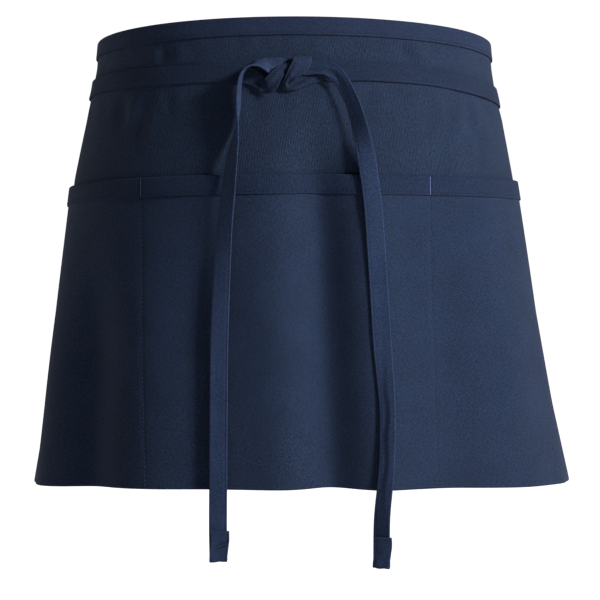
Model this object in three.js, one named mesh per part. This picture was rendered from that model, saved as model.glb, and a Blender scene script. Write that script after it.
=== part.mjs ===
// Three-pocket waist apron, as worn: panel, folded-up pocket, mouth band, waist binding and two ties.
// Millimetres, +Z up, the front faces -Y, +X is the wearer's left. The origin is the centre of the
// waist opening, level with the middle of the panel's top edge.
import * as THREE from "three";

// Driving sizes of the flat apron
const PANEL_WIDTH = 610; // across, along the cloth
const PANEL_LENGTH = 307; // from the top edge to the bottom fold
const POCKET_DEPTH = 205.5; // from the bottom fold up to the mouth
const BAND_DEPTH = 13; // the turned-over hem at the pocket mouth
const TAPE_WIDTH = 12; // binding and ties are the same folded tape
const TURNED_END = 19; // each tie's end is folded forward over this length

// Cloth walls and the clearance kept between two layers
const BODY_WALL = 1.2;
const POCKET_WALL = 1.1;
const BAND_WALL = 1.1;
const TAPE_WALL = 1.2;
const CLEARANCE = 0.3;

// How the cloth hangs on the waist
const DEPTH_SHARE = 0.7; // half depth of a section as a share of its half width
const FALL = 0.99; // height lost per millimetre of cloth, because the skirt flares
const PATTERN_SHIFT = -3; // the apron sits a little round towards -X

// Horizontal sections: level is the distance down the cloth at the middle
const SECTIONS = [
  { level: -20, halfWidth: 129.6, centre: -2.4 },
  { level: 0, halfWidth: 130.6, centre: -2.4 },
  { level: 35, halfWidth: 133.7, centre: -2.4 },
  { level: 55, halfWidth: 137.4, centre: -2.8 },
  { level: 72, halfWidth: 141.5, centre: -2.4 },
  { level: 110, halfWidth: 149.3, centre: -2.7 },
  { level: 202, halfWidth: 163.3, centre: -0.7 },
  { level: 316, halfWidth: 184.3, centre: 2.4 },
  { level: 380, halfWidth: 195.3, centre: 3.8 },
];

// How far the straight cloth dips on its way round to the back, on each side
const DIPS = [
  { level: 0, left: 40, right: 40 },
  { level: 36, left: 36, right: 40 },
  { level: 101, left: 32, right: 23 },
  { level: 305, left: 30, right: 28 },
];

// Soft folds: arc from the middle at the waist and at the hem, half width, height, where it fades in
const FOLDS = [
  { top: 13, hem: 20, half: 17.5, height: -12, from: 44, full: 140 },
  { top: 48, hem: 55, half: 16, height: 4.4, from: 60, full: 140 },
  { top: -14, hem: -14, half: 18, height: 1.6, from: 70, full: 180 },
  { top: 94, hem: 102, half: 20, height: -3.4, from: 70, full: 230 },
  { top: 142, hem: 158, half: 26, height: 4, from: 60, full: 260 },
  { top: -60, hem: -62, half: 26, height: -1.4, from: 80, full: 220 },
  { top: -98, hem: -100, half: 22, height: 1.6, from: 80, full: 220 },
  { top: -132, hem: -150, half: 19, height: -6, from: 110, full: 250 },
  { top: -168, hem: -194, half: 21, height: 4.4, from: 90, full: 250 },
  { top: -215, hem: -238, half: 22, height: -3.2, from: 90, full: 250 },
  { top: 215, hem: 236, half: 20, height: -2.8, from: 90, full: 250 },
];

// Puckers that the tight belt draws in the cloth above and below it
const PUCKERS = [
  { arc: -88, down: 19, half: 4.5, reach: 6, height: -1.5 },
  { arc: -96, down: 19, half: 4, reach: 6, height: 0.9 },
  { arc: -77, down: 19, half: 5, reach: 6, height: 0.9 },
  { arc: -96, down: 56, half: 5, reach: 9, height: -1.2 },
  { arc: -84, down: 55, half: 4, reach: 8, height: -0.9 },
  { arc: 74, down: 19, half: 6, reach: 6, height: -0.9 },
  { arc: 88, down: 19, half: 6, reach: 6, height: 0.8 },
  { arc: 128, down: 60, half: 6, reach: 12, height: -1.5 },
  { arc: 141, down: 60, half: 6, reach: 11, height: 1.0 },
  { arc: -128, down: 58, half: 6, reach: 10, height: -1.2 },
];

// Grid: columns across the panel, and rows down it above the pocket and below the pocket's mouth.
// The layers share their rows, so that their facets stay one clearance apart.
const COLUMNS = 56;
const COLUMN_SPREAD = 0.2; // columns stand closer at the front than at the back
const UPPER_ROWS = [0, 5.25, 10.5, 19, 28, 42, 56, 74];
const POCKET_ROWS = [0, 6.5, 13, 40, 76, 112, 148, 178];
const ARC_STEPS = 48;

const shareOf = (value, low, high) => Math.min(Math.max((value - low) / (high - low), 0), 1);

const easeOf = (share) => share * share * (3 - 2 * share);

// A named column of a table, read at any level
function readTable(rows, level, column) {
  const last = rows.length - 1;
  let next = rows.findIndex((row) => row.level > level);
  next = next < 0 ? last : Math.max(next, 1);
  const low = rows[next - 1];
  const high = rows[next];
  const share = (level - low.level) / (high.level - low.level);
  return low[column] + share * (high[column] - low[column]);
}

// The angle round a section that lies an arc length away from its front
function angleAtArc(arc, halfWidth, halfDepth) {
  const step = arc / ARC_STEPS;
  let angle = 0;
  for (let i = 0; i < ARC_STEPS; i += 1) {
    const speed = Math.hypot(halfWidth * Math.cos(angle), halfDepth * Math.sin(angle));
    const middle = angle + (0.5 * step) / speed;
    angle += step / Math.hypot(halfWidth * Math.cos(middle), halfDepth * Math.sin(middle));
  }
  return angle;
}

// How far down the cloth has dipped at an angle round the waist
function dipAt(angle, down) {
  const side = Math.sin(angle) < 0 ? "left" : "right";
  return readTable(DIPS, down, side) * Math.sin(angle / 2) ** 2;
}

// How far the folds and puckers stand out of the plain surface
function foldAt(arc, down) {
  let height = 0;
  for (const fold of FOLDS) {
    const centre = fold.top + (fold.hem - fold.top) * shareOf(down, 0, PANEL_LENGTH);
    const grown = easeOf(shareOf(down, fold.from, fold.full));
    height += fold.height * grown * Math.exp(-(((arc - centre) / fold.half) ** 2));
  }
  for (const pucker of PUCKERS) {
    const across = (arc - pucker.arc) / pucker.half;
    const along = (down - pucker.down) / pucker.reach;
    height += pucker.height * Math.exp(-(across ** 2) - along ** 4);
  }
  return height;
}

// A point on a section, moved outwards
function sectionPoint(angle, level, out) {
  const halfWidth = readTable(SECTIONS, level, "halfWidth");
  const halfDepth = halfWidth * DEPTH_SHARE;
  const across = Math.sin(angle) / halfWidth;
  const ahead = -Math.cos(angle) / halfDepth;
  const size = Math.hypot(across, ahead);
  return new THREE.Vector3(
    readTable(SECTIONS, level, "centre") + halfWidth * Math.sin(angle) + (out * across) / size,
    -halfDepth * Math.cos(angle) + (out * ahead) / size,
    -FALL * level,
  );
}

// The angle and level of a place on the pattern: the arc across it and the distance down it
function clothAngle(across, down) {
  let level = down;
  let angle = 0;
  for (let pass = 0; pass < 3; pass += 1) {
    const halfWidth = readTable(SECTIONS, level, "halfWidth");
    angle = angleAtArc(across + PATTERN_SHIFT, halfWidth, halfWidth * DEPTH_SHARE);
    level = down + dipAt(angle, down);
  }
  return { angle, level };
}

// The outer face of the panel there
function clothPoint(across, down) {
  const { angle, level } = clothAngle(across, down);
  return sectionPoint(angle, level, foldAt(across + PATTERN_SHIFT, down));
}

// The same face moved outwards, square to the cloth
function clothLayer(across, down, out) {
  const reach = 0.5;
  const along = clothPoint(across + reach, down).sub(clothPoint(across - reach, down));
  const fall = clothPoint(across, down + reach).sub(clothPoint(across, down - reach));
  const normal = fall.cross(along).normalize().negate();
  return clothPoint(across, down).addScaledVector(normal, -out);
}

// A closed body from rings of points, each ring joined to the next, with both ends capped
function ringSolid(name, rings, colour) {
  const size = rings[0].length;
  const positions = rings.flat().flatMap((point) => [point.x, point.y, point.z]);
  const faces = [];
  const quad = (a, b, c, d) => faces.push(a, b, c, a, c, d);
  for (let r = 0; r + 1 < rings.length; r += 1) {
    for (let i = 0; i < size; i += 1) {
      const near = r * size;
      const far = near + size;
      const j = (i + 1) % size;
      // Both faces of a layer are split along the same diagonal, so that layers stay parallel
      if (i < size / 2) quad(near + i, near + j, far + j, far + i);
      else quad(near + j, far + j, far + i, near + i);
    }
  }
  const lastRing = (rings.length - 1) * size;
  for (let i = 0; i + 1 < size / 2; i += 1) {
    const back = size - 1 - i;
    quad(i, back, back - 1, i + 1);
    quad(lastRing + i, lastRing + i + 1, lastRing + back - 1, lastRing + back);
  }
  return meshOf(name, positions, faces, colour);
}

function meshOf(name, positions, faces, colour) {
  const geometry = new THREE.BufferGeometry();
  geometry.setAttribute("position", new THREE.Float32BufferAttribute(positions, 3));
  geometry.setIndex(faces);
  geometry.computeVertexNormals();
  const material = new THREE.MeshStandardMaterial({ color: colour, roughness: 0.95 });
  const mesh = new THREE.Mesh(geometry, material);
  mesh.name = name;
  return mesh;
}

// A strip of cloth swept across the panel: its profile is a list of { down, out } points
function clothStrip(name, profile, colour) {
  const rings = [];
  for (let column = 0; column <= COLUMNS; column += 1) {
    const share = (2 * column) / COLUMNS - 1;
    const spread = (1 - COLUMN_SPREAD) * share + COLUMN_SPREAD * share ** 3;
    const across = 0.5 * PANEL_WIDTH * spread;
    rings.push(profile.map((point) => clothLayer(across, point.down, point.out)));
  }
  return ringSolid(name, rings, colour);
}

// Body panel: one layer from the top edge to just above the bottom fold
function bodyPanel() {
  const mouth = PANEL_LENGTH - POCKET_DEPTH;
  const lower = POCKET_ROWS.map((row) => mouth + row);
  const rows = [...UPPER_ROWS, ...lower, PANEL_LENGTH - POCKET_WALL - CLEARANCE];
  const outer = rows.map((down) => ({ down, out: 0 }));
  const inner = rows.map((down) => ({ down, out: -BODY_WALL }));
  return clothStrip("body_panel", [...outer, ...inner.reverse()], "#2a3750");
}

// Pocket: the same cloth folded up at the hem, standing one clearance in front of the body
function pocketPanel() {
  const near = CLEARANCE;
  const far = CLEARANCE + POCKET_WALL;
  const mouth = PANEL_LENGTH - POCKET_DEPTH;
  const turn = PANEL_LENGTH - POCKET_WALL;
  const rows = [...POCKET_ROWS.map((row) => mouth + row), turn];
  const outer = rows.map((down) => ({ down, out: far }));
  const inner = rows.map((down) => ({ down, out: near }));
  const fold = [
    { down: PANEL_LENGTH - 0.35 * POCKET_WALL, out: far - 0.35 * POCKET_WALL },
    { down: PANEL_LENGTH, out: near - 0.3 * BODY_WALL },
    { down: PANEL_LENGTH - 0.35 * POCKET_WALL, out: -BODY_WALL },
  ];
  const foot = [
    { down: turn, out: near - 0.3 * BODY_WALL },
    { down: turn, out: near - 0.6 * BODY_WALL },
    { down: turn, out: -BODY_WALL },
  ];
  const profile = [...outer, ...fold, ...[...inner, ...foot].reverse()];
  return clothStrip("pocket_panel", profile, "#263249");
}

// Band: the hem at the pocket mouth, turned over to the outside
function pocketMouthBand() {
  const near = POCKET_WALL + 2 * CLEARANCE;
  const far = near + BAND_WALL;
  const mouth = PANEL_LENGTH - POCKET_DEPTH;
  const foot = mouth + BAND_DEPTH;
  const profile = [
    { down: mouth, out: far - 0.4 * BAND_WALL },
    { down: mouth + 0.3 * BAND_WALL, out: far },
    { down: mouth + 0.5 * BAND_DEPTH, out: far },
    { down: foot, out: far },
    { down: foot, out: near },
    { down: mouth + 0.5 * BAND_DEPTH, out: near },
    { down: mouth + 0.3 * BAND_WALL, out: near },
    { down: mouth, out: near },
  ];
  return clothStrip("pocket_mouth_band", profile, "#2e3a54");
}

// Binding: the tape folded over the panel's top edge, one leg on each face
function waistBinding() {
  const near = CLEARANCE;
  const far = CLEARANCE + TAPE_WALL;
  const innerNear = -BODY_WALL - CLEARANCE;
  const innerFar = innerNear - TAPE_WALL;
  const top = -CLEARANCE - TAPE_WALL;
  const foot = TAPE_WIDTH + top;
  const profile = [
    { down: foot, out: far },
    { down: 0.5 * foot, out: far },
    { down: top + 0.5 * TAPE_WALL, out: far },
    { down: top, out: 0.5 * (near + innerNear) },
    { down: top + 0.5 * TAPE_WALL, out: innerFar },
    { down: 0.5 * foot, out: innerFar },
    { down: foot, out: innerFar },
    { down: foot, out: innerNear },
    { down: 0.5 * foot, out: innerNear },
    { down: -CLEARANCE, out: innerNear },
    { down: -CLEARANCE, out: 0.5 * (near + innerNear) },
    { down: -CLEARANCE, out: near },
    { down: 0.5 * foot, out: near },
    { down: foot, out: near },
  ];
  return clothStrip("waist_binding", profile.reverse(), "#2b364d");
}

// Ties: each runs on from the binding at its own corner, round the back, over the far side of the
// panel and into the half knot. Angles are in degrees round the waist from the front, on the side
// where the tie arrives; a tie starts beyond 180, at its own corner.
const LEFT_TIE_ROUND = [
  { corner: -1, down: 5, out: -0.6, steps: 3 },
  { angle: 196, down: 9, out: -0.3, steps: 2 },
  { angle: 180, down: 14, out: -0.1, steps: 3 },
  { angle: 166, down: 18.5, out: 0, steps: 3 },
  { angle: 153, down: 22.5, out: 1.1, steps: 3 },
  { angle: 138, down: 27, out: 1.1, steps: 4 },
  { angle: 115, down: 32, out: 1.1, steps: 4 },
  { angle: 90, down: 36, out: 1.1, steps: 5 },
  { angle: 62, down: 35, out: 1, steps: 5 },
  { angle: 40, down: 33.5, out: 1, steps: 4 },
  { angle: 20, down: 33.5, out: 1, steps: 1 },
];
const RIGHT_TIE_ROUND = [
  { corner: 1, down: 5, out: -0.6, steps: 3 },
  { angle: -196, down: 8.6, out: 2.4, steps: 2 },
  { angle: -180, down: 14, out: 2.6, steps: 3 },
  { angle: -166, down: 18.5, out: 2.2, steps: 3 },
  { angle: -153, down: 22.5, out: 1.2, steps: 3 },
  { angle: -138, down: 26.5, out: 1.1, steps: 4 },
  { angle: -115, down: 30, out: 1.1, steps: 4 },
  { angle: -90, down: 32.5, out: 1.1, steps: 5 },
  { angle: -62, down: 32.5, out: 1, steps: 5 },
  { angle: -40, down: 34, out: 1, steps: 4 },
  { angle: -22, down: 34.6, out: 1, steps: 1 },
];

// Knot and hanging ends: x and z on the front, out from the panel's plain surface; across, up and
// forward give the way from the tape's plain edge to its stitched edge; share narrows the tape
const LEFT_TIE_KNOT = [
  { x: 44, z: -34.3, out: 1.1, across: 0, up: -1, forward: 0, share: 1, steps: 2 },
  { x: 31, z: -34.6, out: 0.95, across: 0, up: -1, forward: 0, share: 1, steps: 2 },
  { x: 22, z: -35.2, out: 1.0, across: 0, up: -1, forward: 0, share: 0.95, steps: 2 },
  { x: 13.5, z: -36.4, out: 1.3, across: 0, up: -1, forward: 0.06, share: 0.78, steps: 2 },
  { x: 5, z: -39.8, out: 1.9, across: 0, up: -1, forward: 0.12, share: 0.64, steps: 2 },
  { x: -2, z: -42.8, out: 2.6, across: -0.15, up: -0.95, forward: 0.2, share: 0.58, steps: 3 },
  { x: -6.3, z: -43.2, out: 3.4, across: -0.7, up: -0.7, forward: 0, share: 0.5, steps: 3 },
  { x: -6.6, z: -40.6, out: 4.4, across: -0.98, up: -0.1, forward: 0, share: 0.46, steps: 3 },
  { x: -4.2, z: -37.2, out: 6.2, across: -0.92, up: 0.35, forward: 0, share: 0.6, steps: 3 },
  { x: -1, z: -33, out: 6.4, across: -0.9, up: 0.42, forward: 0, share: 0.82, steps: 3 },
  { x: 2.2, z: -28.6, out: 6.1, across: -0.95, up: 0.3, forward: 0, share: 1, steps: 3 },
  { x: 3.2, z: -24.8, out: 3.6, across: -1, up: 0.05, forward: 0, share: 1, steps: 3 },
  { x: 1.8, z: -26.6, out: 1.5, across: -0.8, up: 0.6, forward: 0, share: 0.8, steps: 3 },
  { x: -4.5, z: -28.8, out: 1.2, across: -0.3, up: 0.95, forward: 0, share: 0.78, steps: 2 },
  { x: -11, z: -30.2, out: 1.3, across: 0, up: 1, forward: 0, share: 0.85, steps: 2 },
  { x: -17, z: -30.8, out: 1.9, across: 0, up: 1, forward: 0.1, share: 0.9, steps: 2 },
  { x: -22, z: -30.6, out: 3.8, across: 0, up: 0.85, forward: 0.5, share: 0.95, steps: 3 },
  { x: -26, z: -30.2, out: 6.6, across: 0, up: 0.35, forward: 0.93, share: 1, steps: 3 },
  { x: -29.5, z: -30.9, out: 8.4, across: 0, up: 0, forward: 1, share: 1, steps: 3 },
  { x: -33, z: -33.5, out: 8.6, across: 0, up: 0, forward: 1, share: 1, steps: 3 },
  { x: -35.4, z: -38.5, out: 8.5, across: 0, up: 0, forward: 1, share: 1, steps: 2 },
  { x: -36.6, z: -46, out: 8.2, across: 0, up: 0, forward: 1, share: 1, steps: 2 },
  { x: -37.2, z: -56, out: 7.8, across: 0, up: 0, forward: 1, share: 1, steps: 2 },
  { x: -37.6, z: -66, out: 7.4, across: 0.2, up: 0, forward: 0.98, share: 1, steps: 2 },
  { x: -39, z: -77, out: 7.2, across: 0.48, up: 0, forward: 0.88, share: 1, steps: 2 },
  { x: -41.2, z: -90, out: 7.6, across: 0.74, up: 0, forward: 0.67, share: 1, steps: 3 },
  { x: -43.6, z: -112, out: 7.7, across: 0.88, up: 0, forward: 0.48, share: 1, steps: 3 },
  { x: -46.3, z: -138, out: 6.2, across: 0.94, up: 0, forward: 0.34, share: 1, steps: 3 },
  { x: -48.6, z: -175, out: 4.8, across: 1, up: 0, forward: 0.1, share: 1, steps: 3 },
  { x: -50, z: -212, out: 4.3, across: 1, up: 0, forward: 0, share: 1, steps: 3 },
  { x: -50.4, z: -255, out: 4.2, across: 1, up: 0, forward: 0, share: 1, steps: 3 },
  { x: -50.6, z: -297, out: 4.4, across: 1, up: 0, forward: 0, share: 1, steps: 3 },
  { x: -50.7, z: -328, out: 4.6, across: 1, up: 0, forward: 0, share: 1, steps: 3 },
  { x: -50.3, z: -349, out: 4.8, across: 1, up: 0.08, forward: 0, share: 1, steps: 0 },
];
const RIGHT_TIE_KNOT = [
  { x: -50, z: -35.6, out: 0.95, across: 0, up: -1, forward: 0, share: 1, steps: 2 },
  { x: -40, z: -35.8, out: 0.95, across: 0, up: -1, forward: 0, share: 1, steps: 2 },
  { x: -33, z: -36.6, out: 1.0, across: 0, up: -1, forward: 0, share: 0.97, steps: 2 },
  { x: -27, z: -39, out: 1.6, across: 0, up: -1, forward: 0.05, share: 0.9, steps: 3 },
  { x: -22.5, z: -42.3, out: 3.2, across: 0.2, up: -1, forward: 0.1, share: 0.82, steps: 3 },
  { x: -19.2, z: -43.6, out: 5.0, across: 0.6, up: -0.8, forward: 0, share: 0.82, steps: 3 },
  { x: -16.8, z: -41.6, out: 6.3, across: 0.85, up: -0.5, forward: 0, share: 0.85, steps: 3 },
  { x: -14.4, z: -38, out: 6.6, across: 0.8, up: -0.6, forward: 0, share: 0.75, steps: 3 },
  { x: -11.4, z: -34.3, out: 5.9, across: 0.62, up: -0.78, forward: -0.1, share: 0.62, steps: 3 },
  { x: -7.5, z: -32.4, out: 4.1, across: 0.25, up: -1, forward: -0.05, share: 0.6, steps: 3 },
  { x: -2, z: -32.2, out: 3.5, across: 0, up: -1, forward: 0, share: 0.62, steps: 3 },
  { x: 5, z: -32.8, out: 3.3, across: 0, up: -1, forward: 0, share: 0.62, steps: 3 },
  { x: 11.5, z: -31.8, out: 4.2, across: 0, up: -1, forward: 0.1, share: 0.72, steps: 3 },
  { x: 17.5, z: -31.9, out: 5.8, across: -0.1, up: -0.98, forward: 0.1, share: 0.78, steps: 3 },
  { x: 22.6, z: -34.4, out: 7.4, across: -0.6, up: -0.75, forward: -0.3, share: 0.82, steps: 3 },
  { x: 26.6, z: -39.2, out: 8.4, across: -0.75, up: -0.35, forward: -0.55, share: 0.86, steps: 3 },
  { x: 30.2, z: -46, out: 8.8, across: -0.72, up: -0.1, forward: -0.68, share: 0.92, steps: 3 },
  { x: 34, z: -55, out: 8.9, across: -0.7, up: 0, forward: -0.72, share: 0.96, steps: 2 },
  { x: 38.6, z: -70, out: 8.8, across: -0.75, up: 0, forward: -0.66, share: 1, steps: 3 },
  { x: 43, z: -92, out: 8.4, across: -0.95, up: 0, forward: -0.3, share: 1, steps: 3 },
  { x: 46.6, z: -118, out: 8, across: -0.98, up: 0, forward: -0.2, share: 1, steps: 3 },
  { x: 50.4, z: -168, out: 7.4, across: -0.97, up: 0, forward: -0.25, share: 1, steps: 3 },
  { x: 53, z: -210, out: 7.6, across: -0.95, up: 0, forward: -0.32, share: 1, steps: 3 },
  { x: 55.8, z: -252, out: 9.6, across: -0.8, up: 0, forward: -0.6, share: 0.92, steps: 3 },
  { x: 55.2, z: -290, out: 10, across: -0.8, up: 0, forward: -0.6, share: 0.92, steps: 3 },
  { x: 52.6, z: -322, out: 9.6, across: -0.75, up: 0, forward: -0.66, share: 1, steps: 3 },
  { x: 52.6, z: -352, out: 9, across: -0.82, up: 0, forward: -0.57, share: 1, steps: 0 },
];
const EDGES_ACROSS = [-1, 0, 1];

// A station of a tie: its middle, and the direction from the plain edge to the stitched edge
function stationBetween(upper, lower) {
  const middle = upper.clone().lerp(lower, 0.5);
  return { middle, edge: lower.clone().sub(upper).normalize(), share: 1 };
}

function roundStation(angle, down, out) {
  const level = down + dipAt(angle, down);
  const upper = sectionPoint(angle, level - 0.5 * TAPE_WIDTH, out);
  const lower = sectionPoint(angle, level + 0.5 * TAPE_WIDTH, out);
  return stationBetween(upper, lower);
}

// A tie starts two clearances beyond the binding's end, with its end cut along the panel's side
function cornerStation(row) {
  const across = row.corner * (0.5 * PANEL_WIDTH + 2 * CLEARANCE);
  const upper = clothLayer(across, row.down - 0.5 * TAPE_WIDTH, row.out);
  const lower = clothLayer(across, row.down + 0.5 * TAPE_WIDTH, row.out);
  return stationBetween(upper, lower);
}

// Stations from the corner round the back and the far side, smoothed in angle, depth and stand-off
function roundStations(rows) {
  const corner = rows[0];
  const across = corner.corner * (0.5 * PANEL_WIDTH + 2 * CLEARANCE);
  const start = clothAngle(across, corner.down).angle - corner.corner * 2 * Math.PI;
  const points = rows.map((row) => {
    const angle = row.corner ? start : THREE.MathUtils.degToRad(row.angle);
    return new THREE.Vector3(angle, row.down, row.out);
  });
  const curve = new THREE.CatmullRomCurve3(points, false, "catmullrom", 0.5);
  const stations = [cornerStation(corner)];
  rows.slice(0, -1).forEach((row, index) => {
    for (let step = index === 0 ? 1 : 0; step < row.steps; step += 1) {
      const point = curve.getPoint((index + step / row.steps) / (rows.length - 1));
      stations.push(roundStation(point.x, point.y, point.z));
    }
  });
  return stations;
}

function frontStation(row) {
  const level = -row.z / FALL;
  const halfWidth = readTable(SECTIONS, level, "halfWidth");
  const angle = Math.asin((row.x - readTable(SECTIONS, level, "centre")) / halfWidth);
  const upper = sectionPoint(angle, level - 0.5 * TAPE_WIDTH, row.out);
  const lower = sectionPoint(angle, level + 0.5 * TAPE_WIDTH, row.out);
  const { middle } = stationBetween(upper, lower);
  const outward = sectionPoint(angle, level, 1).sub(sectionPoint(angle, level, 0));
  const upward = upper.sub(lower).normalize();
  const sideways = new THREE.Vector3(-outward.y, outward.x, 0);
  const edge = sideways.multiplyScalar(row.across).addScaledVector(upward, row.up);
  edge.addScaledVector(outward, row.forward).normalize();
  return { middle, edge, share: row.share, steps: row.steps };
}

// Stations between the table's rows, on a smooth curve through them
function smoothStations(rows) {
  const curve = new THREE.CatmullRomCurve3(rows.map((row) => row.middle), false, "centripetal");
  const stations = [];
  rows.slice(0, -1).forEach((row, index) => {
    const next = rows[index + 1];
    for (let step = 0; step < row.steps; step += 1) {
      const share = step / row.steps;
      stations.push({
        middle: curve.getPoint((index + share) / (rows.length - 1)),
        edge: row.edge.clone().lerp(next.edge, easeOf(share)).normalize(),
        share: row.share + (next.share - row.share) * easeOf(share),
      });
    }
  });
  stations.push(rows[rows.length - 1]);
  return stations;
}

// The end of a tie, turned up to the front over its last stretch
function turnedEnd(stations) {
  const last = stations[stations.length - 1];
  const before = stations[stations.length - 2];
  const along = last.middle.clone().sub(before.middle).normalize();
  const front = new THREE.Vector3().crossVectors(last.edge, along).normalize();
  if (front.y > 0) front.negate();
  const radius = 0.5 * (TAPE_WALL + CLEARANCE);
  const turned = [];
  for (const angle of [45, 90, 135, 180]) {
    const turn = THREE.MathUtils.degToRad(angle);
    const middle = last.middle.clone().addScaledVector(front, radius * (1 - Math.cos(turn)));
    middle.addScaledVector(along, radius * Math.sin(turn));
    turned.push({ middle, edge: last.edge, share: last.share });
  }
  const aside = last.edge.clone().multiplyScalar(Math.sign(last.edge.x));
  for (const share of [0.08, 0.35, 0.7, 1]) {
    const middle = last.middle.clone().addScaledVector(front, 2 * radius);
    middle.addScaledVector(aside, 1.7 * Math.min(1, share / 0.7));
    middle.addScaledVector(along, -TURNED_END * share);
    turned.push({ middle, edge: last.edge, share: last.share });
  }
  return [...stations, ...turned];
}

function tie(name, roundRows, knotRows, colour) {
  const front = smoothStations(knotRows.map(frontStation));
  const stations = turnedEnd([...roundStations(roundRows), ...front]);
  const rings = stations.map((station, index) => {
    const ahead = stations[Math.min(index + 1, stations.length - 1)].middle;
    const behind = stations[Math.max(index - 1, 0)].middle;
    const along = ahead.clone().sub(behind).normalize();
    const face = new THREE.Vector3().crossVectors(along, station.edge).normalize();
    const half = 0.5 * TAPE_WIDTH * station.share;
    const corner = (across, side) =>
      station.middle
        .clone()
        .addScaledVector(station.edge, half * across)
        .addScaledVector(face, 0.5 * TAPE_WALL * side);
    const near = EDGES_ACROSS.map((across) => corner(across, -1));
    const far = EDGES_ACROSS.map((across) => corner(across, 1)).reverse();
    return [...near, ...far];
  });
  return ringSolid(name, rings, colour);
}

const apron = new THREE.Group();
apron.name = "waist_apron";
apron.add(bodyPanel(), pocketPanel(), pocketMouthBand(), waistBinding());
apron.add(tie("tie_left", LEFT_TIE_ROUND, LEFT_TIE_KNOT, "#303c55"));
apron.add(tie("tie_right", RIGHT_TIE_ROUND, RIGHT_TIE_KNOT, "#2c3852"));

export default apron;
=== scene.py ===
import logging
import math
from dataclasses import dataclass, field
from enum import Enum

import bpy
import numpy as np
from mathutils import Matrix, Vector

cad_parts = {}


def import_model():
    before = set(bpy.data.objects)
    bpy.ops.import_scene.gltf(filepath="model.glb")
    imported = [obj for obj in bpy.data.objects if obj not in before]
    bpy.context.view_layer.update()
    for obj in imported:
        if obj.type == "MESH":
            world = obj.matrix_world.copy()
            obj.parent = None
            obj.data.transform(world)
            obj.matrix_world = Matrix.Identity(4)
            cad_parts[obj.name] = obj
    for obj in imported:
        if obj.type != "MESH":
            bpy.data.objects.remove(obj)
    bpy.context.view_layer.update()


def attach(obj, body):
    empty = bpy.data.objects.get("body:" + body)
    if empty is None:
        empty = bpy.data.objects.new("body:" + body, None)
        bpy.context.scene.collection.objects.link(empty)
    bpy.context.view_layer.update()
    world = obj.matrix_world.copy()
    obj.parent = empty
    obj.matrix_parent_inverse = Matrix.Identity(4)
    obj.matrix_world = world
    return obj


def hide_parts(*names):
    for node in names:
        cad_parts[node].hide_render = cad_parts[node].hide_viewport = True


log = logging.getLogger("waist_apron")
MM = 1e-3

# Flat sizes of the apron, in millimetres
PANEL_WIDTH = 610.0
PANEL_LENGTH = 307.0
POCKET_DEPTH = 205.5
BAND_DEPTH = 13.0
TAPE_WIDTH = 12.0
TURNED_END = 19.0
MOUTH = PANEL_LENGTH - POCKET_DEPTH
DIVIDERS = (-101.2, 94.8)

# Walls of the layers and the air between them
CLOTH_WALL = 0.9
BINDING_WALL = 1.0
TIE_WALL = 1.15
POCKET_GAP = 0.25
BAND_GAP = 0.15
BINDING_GAP = 0.28
BINDING_RISE = 1.5

# Seams: distance of the stitches above the foot of the band and of the binding, and from the tape's middle
BAND_SEAM = 1.9
BINDING_SEAM = 1.8
TIE_SEAM = 4.45

# The turned end of a tie: room inside the turn, and how far it lies off the line of the tape
TURN_ROOM = 0.35
TURN_ASIDE = 1.7

# How the cloth hangs: level, half width, centre; then the dip towards the back on each side
DEPTH_SHARE = 0.7
FALL = 0.99
PATTERN_SHIFT = -3.0
SECTIONS = np.array([
    (-20, 129.6, -2.4), (0, 130.6, -2.4), (35, 133.7, -2.4), (55, 137.4, -2.8), (72, 141.5, -2.4),
    (110, 149.3, -2.7), (202, 163.3, -0.7), (316, 184.3, 2.4), (380, 195.3, 3.8),
])
DIPS = np.array([(0, 40, 40), (36, 36, 40), (101, 32, 23), (305, 30, 28)])

# Soft folds: arc at the waist and at the hem, half width, height, where it starts and where it is full
FOLDS = (
    (13, 20, 17.5, -12, 44, 140), (48, 55, 16, 4.4, 60, 140), (-14, -14, 18, 1.6, 70, 180),
    (94, 102, 20, -3.4, 70, 230), (142, 158, 26, 4, 60, 260), (-60, -62, 26, -1.4, 80, 220),
    (-98, -100, 22, 1.6, 80, 220), (-132, -150, 19, -6, 110, 250), (-168, -194, 21, 4.4, 90, 250),
    (-215, -238, 22, -3.2, 90, 250), (215, 236, 20, -2.8, 90, 250),
)
# Puckers at the tight belt: arc, distance down, half width, reach, height
PUCKERS = (
    (-88, 19, 4.5, 6, -1.5), (-96, 19, 4, 6, 0.9), (-77, 19, 5, 6, 0.9), (-96, 56, 5, 9, -1.2),
    (-84, 55, 4, 8, -0.9), (74, 19, 6, 6, -0.9), (88, 19, 6, 6, 0.8), (128, 60, 6, 12, -1.5),
    (141, 60, 6, 11, 1.0), (-128, 58, 6, 10, -1.2),
)

# Slanting drag lines by the belt: from (across, down) to (across, down), half width, height
CREASES = (
    (-98, 46, -108, 80, 4.5, -0.9), (-90, 46, -99, 78, 4.5, 0.8), (-109, 46, -119, 76, 4.0, 0.6),
    (-120, 46, -116, 76, 4.0, -0.6), (70, 14, 88, 30, 4.0, -0.55), (80, 12, 98, 30, 4.0, 0.5),
    (118, 44, 104, 84, 5.0, -0.6), (146, 46, 138, 96, 5.0, -0.8), (60, 46, 56, 80, 5.0, 0.5),
    (-30, 46, -34, 78, 5.0, 0.4), (-140, 14, -150, 30, 4.0, -0.6),
)

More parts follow.
